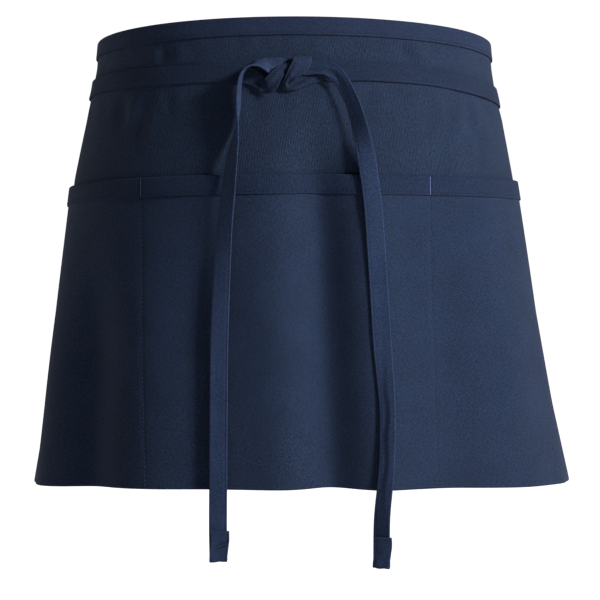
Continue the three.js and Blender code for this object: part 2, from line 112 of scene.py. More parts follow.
# Tie routes round the waist: angle in degrees (or the corner it starts from), down, stand-off, steps
LEFT_ROUND = (
    (None, 5, -0.6, 3), (196, 9, -0.3, 2), (180, 14, -0.1, 3), (166, 18.5, 0, 3), (153, 22.5, 1.1, 3),
    (138, 27, 1.1, 4), (115, 32, 1.1, 4), (90, 36, 1.1, 5), (62, 35, 1, 5), (40, 33.5, 1, 4),
    (20, 33.5, 1, 1),
)
RIGHT_ROUND = (
    (None, 5, -0.6, 3), (-196, 8.6, 2.4, 2), (-180, 14, 2.6, 3), (-166, 18.5, 2.2, 3),
    (-153, 22.5, 1.2, 3), (-138, 26.5, 1.1, 4), (-115, 30, 1.1, 4), (-90, 32.5, 1.1, 5),
    (-62, 32.5, 1, 5), (-40, 34, 1, 4), (-22, 34.6, 1, 1),
)
# Knot and tails: x, z, stand-off, the way to the stitched edge (across, up, forward), share, steps
LEFT_KNOT = (
    (44, -34.3, 1.1, 0, -1, 0, 1, 2), (31, -34.6, 0.95, 0, -1, 0, 1, 2),
    (22, -35.2, 1.0, 0, -1, 0, 0.95, 2), (13.5, -36.4, 1.3, 0, -1, 0.06, 0.78, 2),
    (5, -39.8, 1.9, 0, -1, 0.12, 0.64, 2), (-2, -42.8, 2.6, -0.15, -0.95, 0.2, 0.58, 3),
    (-6.3, -43.2, 3.4, -0.7, -0.7, 0, 0.5, 3), (-6.6, -40.6, 4.4, -0.98, -0.1, 0, 0.46, 3),
    (-4.2, -37.2, 6.2, -0.92, 0.35, 0, 0.6, 3), (-1, -33, 6.4, -0.9, 0.42, 0, 0.82, 3),
    (2.2, -28.6, 6.1, -0.95, 0.3, 0, 1, 3), (3.2, -24.8, 3.6, -1, 0.05, 0, 0.95, 3),
    (2.4, -27.4, 1.9, -0.7, 0.5, 0.5, 0.6, 3), (-1.5, -29, 2.5, -0.1, 0.1, 1, 0.5, 2),
    (-6, -30, 1.9, 0, -0.8, 0.6, 0.65, 2), (-11, -30.4, 1.5, 0, -1, 0.12, 0.85, 2),
    (-17, -30.4, 2.4, 0.05, -0.93, 0.35, 0.95, 3), (-22, -29.6, 4.8, 0.1, -0.55, 0.83, 1, 3),
    (-26.5, -29.6, 7.2, 0, -0.15, 1, 1, 3), (-31, -31.2, 8.6, 0, 0, 1, 1, 3),
    (-34.4, -35.4, 8.6, 0, 0, 1, 1, 3), (-36, -40.5, 8.5, 0, 0, 1, 1, 2), (-36.6, -46, 8.2, 0, 0, 1, 1, 2),
    (-37.2, -56, 7.8, 0, 0, 1, 1, 2), (-37.6, -66, 7.4, 0.2, 0, 0.98, 1, 2),
    (-39, -77, 7.2, 0.48, 0, 0.88, 1, 2), (-41.2, -90, 7.6, 0.74, 0, 0.67, 1, 3),
    (-43.6, -112, 7.7, 0.88, 0, 0.48, 1, 3), (-46.3, -138, 6.2, 0.94, 0, 0.34, 1, 3),
    (-48.6, -175, 4.8, 1, 0, 0.1, 1, 3), (-50, -212, 4.3, 1, 0, 0, 1, 3),
    (-50.4, -255, 4.2, 1, 0, 0, 1, 3), (-50.6, -297, 4.4, 1, 0, 0, 1, 3),
    (-50.7, -328, 4.6, 1, 0, 0, 1, 3), (-50.3, -349, 4.8, 1, 0.08, 0, 1, 0),
)
RIGHT_KNOT = (
    (-50, -35.6, 0.95, 0, -1, 0, 1, 2), (-40, -35.8, 0.95, 0, -1, 0, 1, 2),
    (-33, -36.6, 1.0, 0, -1, 0, 0.97, 2), (-27, -39, 1.6, 0, -1, 0.05, 0.9, 3),
    (-22.5, -42.3, 3.2, 0.2, -1, 0.1, 0.82, 3), (-19.2, -43.6, 5.0, 0.6, -0.8, 0, 0.82, 3),
    (-16.8, -41.6, 6.3, 0.85, -0.5, 0, 0.85, 3), (-14.4, -38, 6.6, 0.8, -0.6, 0, 0.75, 3),
    (-11.4, -34.3, 5.9, 0.62, -0.78, -0.1, 0.62, 3), (-7.5, -32.4, 4.1, 0.25, -1, -0.05, 0.6, 3),
    (-2, -32.2, 3.5, 0, -1, 0, 0.62, 3), (5, -32.8, 3.3, 0, -1, 0, 0.62, 3),
    (11.5, -31.8, 4.2, 0, -1, 0.1, 0.72, 3), (17.5, -31.9, 5.8, -0.1, -0.98, 0.1, 0.78, 3),
    (22.6, -34.4, 7.4, -0.6, -0.75, -0.3, 0.82, 3), (26.6, -39.2, 8.4, -0.75, -0.35, -0.55, 0.86, 3),
    (30.2, -46, 8.8, -0.72, -0.1, -0.68, 0.92, 3), (34, -55, 8.9, -0.7, 0, -0.72, 0.96, 2),
    (38.6, -70, 8.8, -0.75, 0, -0.66, 1, 3), (43, -92, 8.4, -0.95, 0, -0.3, 1, 3),
    (46.6, -118, 8, -0.98, 0, -0.2, 1, 3), (50.4, -168, 7.4, -0.97, 0, -0.25, 1, 3),
    (53, -210, 7.6, -0.95, 0, -0.32, 1, 3), (55.8, -252, 9.6, -0.8, 0, -0.6, 0.92, 3),
    (55.2, -290, 10, -0.8, 0, -0.6, 0.92, 3), (52.6, -322, 9.6, -0.75, 0, -0.66, 1, 3),
    (52.6, -352, 9, -0.82, 0, -0.57, 1, 0),
)


class Weave(Enum):
    """Which side of the twill is out, as the angle of its wales from the cloth's width, in degrees."""

    FACE = 84.0
    REVERSE = 38.0
    TAPE = 52.0


def linear(hex_colour: str) -> tuple[float, float, float, float]:
    """Turn an sRGB hex colour into Blender's linear one.

    Args:
        hex_colour: six hex digits, with or without a leading #.

    Returns:
        Linear red, green, blue and an alpha of 1.
    """
    digits = hex_colour.lstrip("#")
    parts = [int(digits[i:i + 2], 16) / 255 for i in (0, 2, 4)]
    r, g, b = (c / 12.92 if c <= 0.04045 else ((c + 0.055) / 1.055) ** 2.4 for c in parts)
    return r, g, b, 1.0


def add_node(
    tree: bpy.types.NodeTree, kind: str, inputs: dict | None = None, **settings: object,
) -> bpy.types.Node:
    """Add one node with its settings, and set or link its inputs.

    Args:
        tree: the node tree it goes in.
        kind: the node's type name, without the ShaderNode in front.
        inputs: input name or index to a value, or to an output socket that is linked to it.
        **settings: the node's own properties.

    Returns:
        The node.
    """
    node = tree.nodes.new("ShaderNode" + kind)
    for name, value in settings.items():
        setattr(node, name, value)
    for name, value in (inputs or {}).items():
        if isinstance(value, bpy.types.NodeSocket):
            tree.links.new(value, node.inputs[name])
        else:
            node.inputs[name].default_value = value
    return node


def ease(share: np.ndarray) -> np.ndarray:
    """Smooth step from 0 to 1: 3 s squared less 2 s cubed, with s held between 0 and 1."""
    s = np.clip(share, 0, 1)
    return s * s * (3 - 2 * s)


def bump_at(value: np.ndarray, centre: float | np.ndarray, half: float) -> np.ndarray:
    """A bell of height 1: the exponential of minus the squared distance over half."""
    return np.exp(-(((value - centre) / half) ** 2))


# The worn cloth


@dataclass(frozen=True)
class WornCloth:
    """The panel's surface as worn: an arc across the cloth and a distance down it give a point.

    The horizontal sections are half-ellipses whose half depth is a share of their half width, and
    the cloth dips towards the back. All lengths are millimetres.
    """

    arc_steps: int = 48

    def half_width(self, level: np.ndarray) -> np.ndarray:
        """The section's half width at a level."""
        return np.interp(level, SECTIONS[:, 0], SECTIONS[:, 1])

    def centre(self, level: np.ndarray) -> np.ndarray:
        """How far the section's centre lies to the side at a level."""
        return np.interp(level, SECTIONS[:, 0], SECTIONS[:, 2])

    def angle_at_arc(self, arc: np.ndarray, a: np.ndarray) -> np.ndarray:
        """Angle round an ellipse at an arc length from its front.

        The angle's rate is one over the root of (a cos)^2 + (b sin)^2, stepped by its midpoint.

        Args:
            arc: arc length from the front, signed.
            a: half width of the section; its half depth is a times DEPTH_SHARE.

        Returns:
            The angle in radians.
        """
        step = arc / self.arc_steps
        b = a * DEPTH_SHARE
        angle = np.zeros(np.broadcast(arc, a).shape)
        for _ in range(self.arc_steps):
            middle = angle + 0.5 * step / np.hypot(a * np.cos(angle), b * np.sin(angle))
            angle = angle + step / np.hypot(a * np.cos(middle), b * np.sin(middle))
        return angle

    def dip(self, angle: np.ndarray, down: np.ndarray) -> np.ndarray:
        """How far the cloth has dipped: the side's dip times the squared sine of half the angle."""
        left = np.interp(down, DIPS[:, 0], DIPS[:, 1])
        right = np.interp(down, DIPS[:, 0], DIPS[:, 2])
        return np.where(np.sin(angle) < 0, left, right) * np.sin(angle / 2) ** 2

    def relief(self, arc: np.ndarray, down: np.ndarray) -> np.ndarray:
        """Height of the folds and puckers over the plain surface.

        Each fold is a bell across the cloth that fades in on its way down, and each pucker is a
        bell across times a bell along.

        Args:
            arc: arc from the front, which includes the pattern's shift.
            down: distance down the cloth.

        Returns:
            The height in millimetres.
        """
        total = np.zeros(np.broadcast(arc, down).shape)
        for top, hem, half, height, start, full in FOLDS:
            middle = top + (hem - top) * np.clip(down / PANEL_LENGTH, 0, 1)
            total = total + height * ease((down - start) / (full - start)) * bump_at(arc, middle, half)
        for at, level, half, reach, height in PUCKERS:
            total = total + 0.8 * height * bump_at(arc, at, half) * bump_at(down, level, 0.9 * reach)
        return total

    def section_point(self, angle: np.ndarray, level: np.ndarray, out: np.ndarray) -> np.ndarray:
        """A point on a section, moved out along the ellipse's own normal.

        Args:
            angle: angle round from the front.
            level: distance down.
            out: stand-off.

        Returns:
            Points, last axis x, y, z.
        """
        a = self.half_width(level)
        b = a * DEPTH_SHARE
        nx, ny = np.sin(angle) / a, -np.cos(angle) / b
        size = np.hypot(nx, ny)
        x = self.centre(level) + a * np.sin(angle) + out * nx / size
        y = -b * np.cos(angle) + out * ny / size
        return np.stack(np.broadcast_arrays(x, y, -FALL * level), axis=-1)

    def angle_level(self, across: np.ndarray, down: np.ndarray) -> tuple[np.ndarray, np.ndarray]:
        """Angle and level of a place on the pattern, found in three passes."""
        across, down = np.broadcast_arrays(np.asarray(across, float), np.asarray(down, float))
        level, angle = down, np.zeros(down.shape)
        for _ in range(3):
            angle = self.angle_at_arc(across + PATTERN_SHIFT, self.half_width(level))
            level = down + self.dip(angle, down)
        return angle, level

    def point(self, across: np.ndarray, down: np.ndarray) -> np.ndarray:
        """The panel's outer face at a place on the pattern."""
        angle, level = self.angle_level(across, down)
        return self.section_point(angle, level, self.relief(across + PATTERN_SHIFT, down))

    def frame(self, across: np.ndarray, down: np.ndarray) -> tuple[np.ndarray, np.ndarray]:
        """The outer face and its outward normal, from differences half a millimetre each way."""
        reach = 0.5
        across, down = np.broadcast_arrays(np.asarray(across, float), np.asarray(down, float))
        along = self.point(across + reach, down) - self.point(across - reach, down)
        fall = self.point(across, down + reach) - self.point(across, down - reach)
        normal = np.cross(fall, along)
        normal /= np.linalg.norm(normal, axis=-1, keepdims=True)
        return self.point(across, down), normal

    def layer(self, across: np.ndarray, down: np.ndarray, out: np.ndarray) -> np.ndarray:
        """The same face moved outwards, square to the cloth."""
        place, normal = self.frame(across, down)
        return place + normal * np.asarray(out)[..., None]


CLOTH = WornCloth()


# Meshes


def closed_mesh(name: str, rings: np.ndarray, uv: np.ndarray) -> bpy.types.Object:
    """A closed body from rings of points, each joined to the next, with both ends capped.

    Ring point i and ring point size-1-i face each other across the wall, so that the caps are
    strips of quads. The mesh is turned to face outwards by the sign of its volume.

    Args:
        name: the piece's name.
        rings: points in millimetres, stations by ring points by 3; the ring size is even.
        uv: pattern coordinates in millimetres, stations by ring points by 2.

    Returns:
        The object, at the origin, in metres, with its pattern coordinates in metres as UVs.
    """
    count, size = rings.shape[:2]
    r, i = np.meshgrid(np.arange(count - 1), np.arange(size), indexing="ij")
    j = (i + 1) % size
    quads = np.stack([r * size + i, r * size + j, (r + 1) * size + j, (r + 1) * size + i], -1)
    k = np.arange(size // 2 - 1)
    back, last = size - 1 - k, (count - 1) * size
    first = np.stack([k, back, back - 1, k + 1], -1)
    final = np.stack([last + k, last + k + 1, last + back - 1, last + back], -1)
    faces = np.concatenate([quads.reshape(-1, 4), first, final])
    points = rings.reshape(-1, 3) * MM
    a, b, c, d = (points[faces[:, n]] for n in range(4))
    volume = np.einsum("ij,ij->", a, np.cross(b, c)) + np.einsum("ij,ij->", a, np.cross(c, d))
    if volume < 0:
        faces = faces[:, ::-1]
    mesh = bpy.data.meshes.new(name)
    mesh.vertices.add(len(points))
    mesh.vertices.foreach_set("co", points.ravel())
    mesh.loops.add(faces.size)
    mesh.loops.foreach_set("vertex_index", faces.ravel().astype(np.int32))
    mesh.polygons.add(len(faces))
    mesh.polygons.foreach_set("loop_start", np.arange(0, faces.size, 4, dtype=np.int32))
    mesh.polygons.foreach_set("use_smooth", np.ones(len(faces), bool))
    mesh.update(calc_edges=True)
    layer = mesh.uv_layers.new(name="pattern")
    flat = (uv.reshape(-1, 2) * MM)[faces.ravel()]
    layer.data.foreach_set("uv", flat.ravel())
    mesh.validate()
    obj = bpy.data.objects.new(name, mesh)
    bpy.context.scene.collection.objects.link(obj)
    return obj


def thick_line(line: np.ndarray, wall: float) -> np.ndarray:
    """A rounded wall laid along a line in the plane of (down, out): both its faces as one ring.

    Each face is the line moved by half the wall along its normal. The half wall shrinks to nothing
    on a quarter circle at both ends, which rounds the cloth's edges.

    Args:
        line: points by 2, the wall's middle.
        wall: its thickness.

    Returns:
        The ring, twice as many points by 2; point i faces point size-1-i.
    """
    tangent = np.gradient(line, axis=0)
    tangent /= np.linalg.norm(tangent, axis=1, keepdims=True)
    normal = np.stack([-tangent[:, 1], tangent[:, 0]], -1)
    run = np.concatenate([[0], np.cumsum(np.linalg.norm(np.diff(line, axis=0), axis=1))])
    near = np.clip(np.minimum(run, run[-1] - run) / (0.5 * wall), 0, 1)
    half = 0.5 * wall * np.sqrt(np.clip(1 - (1 - near) ** 2, 0.02, 1))
    return np.concatenate([line + normal * half[:, None], (line - normal * half[:, None])[::-1]])


def spaced(low: float, high: float, step: float, spots: tuple, fine: float, reach: float) -> np.ndarray:
    """Places from low to high whose step narrows near some spots.

    The local step is the coarse one less a bell at each spot; its inverse is summed and inverted.

    Args:
        low: first place.
        high: last place.
        step: step away from the spots.
        spots: places that need a finer step.
        fine: step at a spot.
        reach: half width of the bell.

    Returns:
        The places, rising.
    """
    dense = np.linspace(low, high, 4000)
    local = np.full(dense.shape, float(step))
    for spot in spots:
        local = np.minimum(local, step - (step - fine) * bump_at(dense, spot, reach))
    run = np.concatenate([[0], np.cumsum(1 / local[:-1] * np.diff(dense))])
    return np.interp(np.linspace(0, run[-1], int(math.ceil(run[-1])) + 1), run, dense)


def rounded_ends(low: float, high: float, middle: np.ndarray, wall: float) -> np.ndarray:
    """Rows from low to high with close rows over half a wall at each end, for a rounded edge."""
    edge = 0.5 * wall * np.array([0, 0.08, 0.3, 0.65, 1.0])
    inner = middle[(middle > low + wall) & (middle < high - wall)]
    return np.concatenate([low + edge, inner, (high - edge)[::-1]])


@dataclass(frozen=True)
class Stitches:
    """A row of sewing thread: each visible stitch is a small arched spindle.

    Attributes:
        pitch: distance from one stitch to the next, in millimetres.
        length: visible length of a stitch.
        thick: thread diameter; real thread is about 0.35 mm, drawn a little thicker so that it shows.
        sides: faces round a stitch.
    """

    pitch: float = 3.0
    length: float = 2.1
    thick: float = 0.5
    sides: int = 6

    def mesh(self, name: str, places: np.ndarray, along: np.ndarray, normal: np.ndarray) -> bpy.types.Object:
        """Spindles at places, each on its own direction, in one mesh.

        A spindle's radius is the root of one less the square of its share along, and its middle
        rises by the same share of a third of its thickness.

        Args:
            name: the piece's name.
            places: stitch middles, n by 3, millimetres.
            along: unit directions, n by 3.
            normal: outward unit normals, n by 3.

        Returns:
            The object.
        """
        share = np.array([-0.97, -0.7, 0.0, 0.7, 0.97])
        turn = np.arange(self.sides) * 2 * np.pi / self.sides
        radius = 0.5 * self.thick * np.sqrt(1 - share ** 2)
        rise = 0.35 * self.thick * (1 - share ** 2)
        side = np.cross(along, normal)
        body = (places[:, None, None, :]
                + (0.5 * self.length * share)[None, :, None, None] * along[:, None, None, :]
                + (rise[:, None] + radius[:, None] * np.cos(turn)[None, :])[None, :, :, None]
                * normal[:, None, None, :]
                + (radius[:, None] * np.sin(turn)[None, :])[None, :, :, None] * side[:, None, None, :])
        per = len(share) * self.sides
        i, j = np.meshgrid(np.arange(len(share) - 1), np.arange(self.sides), indexing="ij")
        k = (j + 1) % self.sides
        quads = np.stack(
            [i * self.sides + j, i * self.sides + k, (i + 1) * self.sides + k, (i + 1) * self.sides + j],
            -1,
        )
        quads = quads.reshape(-1, 4)
        offsets = (np.arange(len(places)) * per)[:, None, None]
        all_quads = (quads[None] + offsets).reshape(-1, 4)
        ends = np.stack([np.arange(self.sides)[::-1], np.arange(self.sides) + per - self.sides])
        all_ends = (ends[None] + offsets).reshape(-1, self.sides)
        points = body.reshape(-1, 3) * MM
        corner = points[quads[0]]
        centre = points[:per].mean(axis=0)
        if np.dot(np.cross(corner[1] - corner[0], corner[2] - corner[0]), corner.mean(axis=0) - centre) < 0:
            all_quads, all_ends = all_quads[:, ::-1], all_ends[:, ::-1]
        mesh = bpy.data.meshes.new(name)
        mesh.from_pydata(points.tolist(), [], all_quads.tolist() + all_ends.tolist())
        mesh.polygons.foreach_set("use_smooth", np.ones(len(mesh.polygons), bool))
        mesh.update()
        obj = bpy.data.objects.new(name, mesh)
        bpy.context.scene.collection.objects.link(obj)
        return obj

    def places(self, low: float, high: float) -> np.ndarray:
        """Middles of the stitches on a run from low to high."""
        count = max(int((high - low) / self.pitch), 1)
        return low + (np.arange(count) + 0.5) * (high - low) / count

    def downwards(self, name: str, across: float, low: float, high: float, out: float) -> bpy.types.Object:
        """A row down the cloth at one place across it."""
        places = self.places(low, high)
        return self.on_cloth(name, np.full(places.shape, across), places, out)

    def on_cloth(self, name: str, across: np.ndarray, down: np.ndarray, out: float) -> bpy.types.Object:
        """Stitches at places on the pattern, each laid down the cloth.

        Args:
            name: the piece's name.
            across: arcs across the cloth.
            down: distances down it.
            out: stand-off of the face that they lie on; negative for the inner face.

        Returns:
            The object.
        """
        place, normal = CLOTH.frame(across, down)
        along = CLOTH.point(across, down + 0.5) - CLOTH.point(across, down - 0.5)
        along /= np.linalg.norm(along, axis=1, keepdims=True)
        return self.mesh(name, place + normal * out, along, normal if out > -0.5 else -normal)


# Finishes


@dataclass(frozen=True)
class NavyTwill:
    """Poly-cotton twill, yarn-dyed navy and woven: matt, with fine wales and a faint sheen of fibre ends.

    Attributes:
        name: the material's name.
        colour: mean colour, sRGB.
        weave: which side is out.
        wale: spacing of the wales in millimetres. Real wales are 0.5 to 0.7 mm apart; they are drawn
            a little coarser, as fine as the render can show.
        depth: height of the wales in millimetres.
        contrast: how much the wales and the grain vary the tone, as a share of it.
        blotch: how much uneven dye varies the tone, as a share of it.
        sheen: weight of the fibre ends' sheen.
        pull: for a tape, a tone painted along it: two distances along it, the tone before them, a painted
            shade on the belt round the waist, and the tone after them, a painted highlight on the hanging
            ends.
    """

    name: str
    colour: str
    weave: Weave
    wale: float = 1.05
    depth: float = 0.10
    contrast: float = 0.46
    blotch: float = 0.10
    sheen: float = 0.025
    pull: tuple = ()

    def material(self) -> bpy.types.Material:
        """Build the node material: wales by a sine across the pattern, slubs and fibre by noise."""
        made = bpy.data.materials.new(self.name)
        made.use_nodes = True
        tree = made.node_tree
        tree.nodes.clear()
        uv = add_node(tree, "TexCoord").outputs["UV"]
        # Slubs: yarns thicken and thin over about 4 mm along them, which bends the wales a little
        turned = add_node(
            tree, "Mapping", {"Vector": uv, "Rotation": (0, 0, -math.radians(self.weave.value))},
        )
        slub = add_node(tree, "Mapping", {"Vector": turned.outputs[0], "Scale": (400, 1500, 1)})
        slub_noise = add_node(
            tree, "TexNoise", {"Vector": slub.outputs[0], "Scale": 1.0, "Detail": 2.0, "Roughness": 0.6},
        )
        parts = add_node(tree, "SeparateXYZ", {"Vector": turned.outputs[0]})
        phase = add_node(
            tree, "Math", {0: parts.outputs["Y"], 1: 2 * math.pi / (self.wale * MM)}, operation="MULTIPLY",
        )
        bent = add_node(
            tree, "Math", {0: slub_noise.outputs["Fac"], 1: 3.2, 2: phase.outputs[0]},
            operation="MULTIPLY_ADD",
        )
        wave = add_node(tree, "Math", {0: bent.outputs[0]}, operation="SINE")
        wale = add_node(tree, "Math", {0: wave.outputs[0], 1: 0.5, 2: 0.5}, operation="MULTIPLY_ADD")
        # Grain: single floats of yarn, about a millimetre long
        grain_at = add_node(
            tree, "Mapping", {"Vector": turned.outputs[0], "Scale": (1 / (1.7 * MM), 1 / (1.1 * MM), 1)},
        )
        grain = add_node(
            tree, "TexNoise",
            {"Vector": grain_at.outputs[0], "Scale": 1.0, "Detail": 3.0, "Roughness": 0.7},
        )
        # Blotch: uneven dye and handling over 10 to 40 mm
        blotch = add_node(tree, "TexNoise", {"Vector": uv, "Scale": 38.0, "Detail": 3.0, "Roughness": 0.55})
        mixed = add_node(
            tree, "Math", {0: grain.outputs["Fac"], 1: 3.0, 2: wale.outputs[0]}, operation="MULTIPLY_ADD",
        )
        tone = add_node(tree, "MapRange", {
            "Value": mixed.outputs[0], "From Min": 0.9, "From Max": 3.1,
            "To Min": 1 - self.contrast * 2.2, "To Max": 1 + self.contrast * 2.2,
        })
        slow = add_node(tree, "MapRange", {
            "Value": blotch.outputs["Fac"], "From Min": 0.3, "From Max": 0.7,
            "To Min": 1 - self.blotch, "To Max": 1 + self.blotch,
        })
        value = add_node(tree, "Math", {0: tone.outputs[0], 1: slow.outputs[0]}, operation="MULTIPLY")
        if self.pull:
            # Painted shade and light: the belt round the waist is darkened and the hanging ends lightened,
            # for how the light falls on them
            start, end, low, high = self.pull
            run = add_node(tree, "SeparateXYZ", {"Vector": uv})
            painted_belt_shade = add_node(tree, "MapRange", {
                "Value": run.outputs["X"], "From Min": start * MM, "From Max": end * MM,
                "To Min": low, "To Max": high,
            })
            value = add_node(tree, "Math", {0: value.outputs[0], 1: painted_belt_shade.outputs[0]}, operation="MULTIPLY")
        combine = add_node(
            tree, "CombineColor", {0: value.outputs[0], 1: value.outputs[0], 2: value.outputs[0]},
        )
        base = add_node(
            tree, "Mix", {"Factor": 1.0, 6: linear(self.colour), 7: combine.outputs[0]}, data_type="RGBA",
            blend_type="MULTIPLY",
        )
        height = add_node(
            tree, "Math", {0: grain.outputs["Fac"], 1: 0.8, 2: wale.outputs[0]}, operation="MULTIPLY_ADD",
        )
        bump = add_node(
            tree, "Bump", {"Height": height.outputs[0], "Strength": 0.6, "Distance": self.depth * MM},
        )
        shader = add_node(tree, "BsdfPrincipled", {
            "Base Color": base.outputs[2], "Roughness": 0.9, "Specular IOR Level": 0.08,
            "Normal": bump.outputs[0],
            "Sheen Weight": self.sheen, "Sheen Roughness": 0.45, "Sheen Tint": linear("9fb0d0"),
        })
        out = add_node(tree, "OutputMaterial")
        tree.links.new(shader.outputs[0], out.inputs[0])
        return made


@dataclass(frozen=True)
class SewingThread:
    """Spun polyester thread, dyed to the cloth but a shade off it: twisted, with a dull sheen."""

    name: str
    colour: str

    def material(self) -> bpy.types.Material:
        """Build the node material: the thread's twist as fine noise on Object coordinates."""
        made = bpy.data.materials.new(self.name)
        made.use_nodes = True
        tree = made.node_tree
        tree.nodes.clear()
        place = add_node(tree, "TexCoord").outputs["Object"]
        # Twist: one turn about every 0.8 mm
        noise = add_node(tree, "TexNoise", {"Vector": place, "Scale": 1250.0, "Detail": 1.0})
        tone = add_node(tree, "MapRange", {
            "Value": noise.outputs["Fac"], "From Min": 0.3, "From Max": 0.7,
            "To Min": 0.75, "To Max": 1.25,
        })
        combine = add_node(tree, "CombineColor", {0: tone.outputs[0], 1: tone.outputs[0], 2: tone.outputs[0]})
        base = add_node(
            tree, "Mix", {"Factor": 1.0, 6: linear(self.colour), 7: combine.outputs[0]}, data_type="RGBA",
            blend_type="MULTIPLY",
        )
        shader = add_node(tree, "BsdfPrincipled", {
            "Base Color": base.outputs[2], "Roughness": 0.85, "Sheen Weight": 0.03,
            "Specular IOR Level": 0.12,
        })
        out = add_node(tree, "OutputMaterial")
        tree.links.new(shader.outputs[0], out.inputs[0])
        return made


@dataclass
class Finishes:
    """The apron's finishes, made once."""

    body: bpy.types.Material = field(
        default_factory=NavyTwill("navy_twill_face", "131c2c", Weave.FACE).material
    )
    pocket: bpy.types.Material = field(
        default_factory=NavyTwill("navy_twill_reverse", "131c2d", Weave.REVERSE, wale=1.1).material
    )
    band: bpy.types.Material = field(
        default_factory=NavyTwill("navy_twill_hem", "10192a", Weave.FACE).material
    )
    binding: bpy.types.Material = field(
        default_factory=NavyTwill("navy_binding_tape", "141c2e", Weave.TAPE, wale=1.0).material
    )
    # The tie's tone is a painted shade on the belt round the waist and a painted highlight on the hanging
    # ends
    tie: bpy.types.Material = field(
        default_factory=NavyTwill(
            "navy_tie_tape", "182236", Weave.TAPE, wale=1.0, pull=(440, 480, 0.6, 1.12),
        ).material
    )
    thread: bpy.types.Material = field(default_factory=SewingThread("navy_thread", "1c2539").material)
    # A paler thread, used on one bar tack
    pale_thread: bpy.types.Material = field(default_factory=SewingThread("pale_tack_thread", "465170").material)
    # Near-black thread: a painted shade of the sunk stitches and their groove, on thread dyed navy
    groove_shade_thread: bpy.types.Material = field(default_factory=SewingThread("groove_shade_thread", "070a16").material)


def settle(obj: bpy.types.Object, slot: str, finish: bpy.types.Material, *nodes: str) -> bpy.types.Object:
    """Give a piece its finish and body, hide the solids that it stands for, and report it.

    Args:
        obj: the piece.
        slot: not used.
        finish: its material.
        *nodes: solids that it replaces.

    Returns:
        The piece.
    """
    obj.data.materials.clear()
    obj.data.materials.append(finish)
    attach(obj, "root")
    if nodes:
        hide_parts(*nodes)
    log.info("%s: %d faces", obj.name, len(obj.data.polygons))
    return obj


# Sub-assemblies


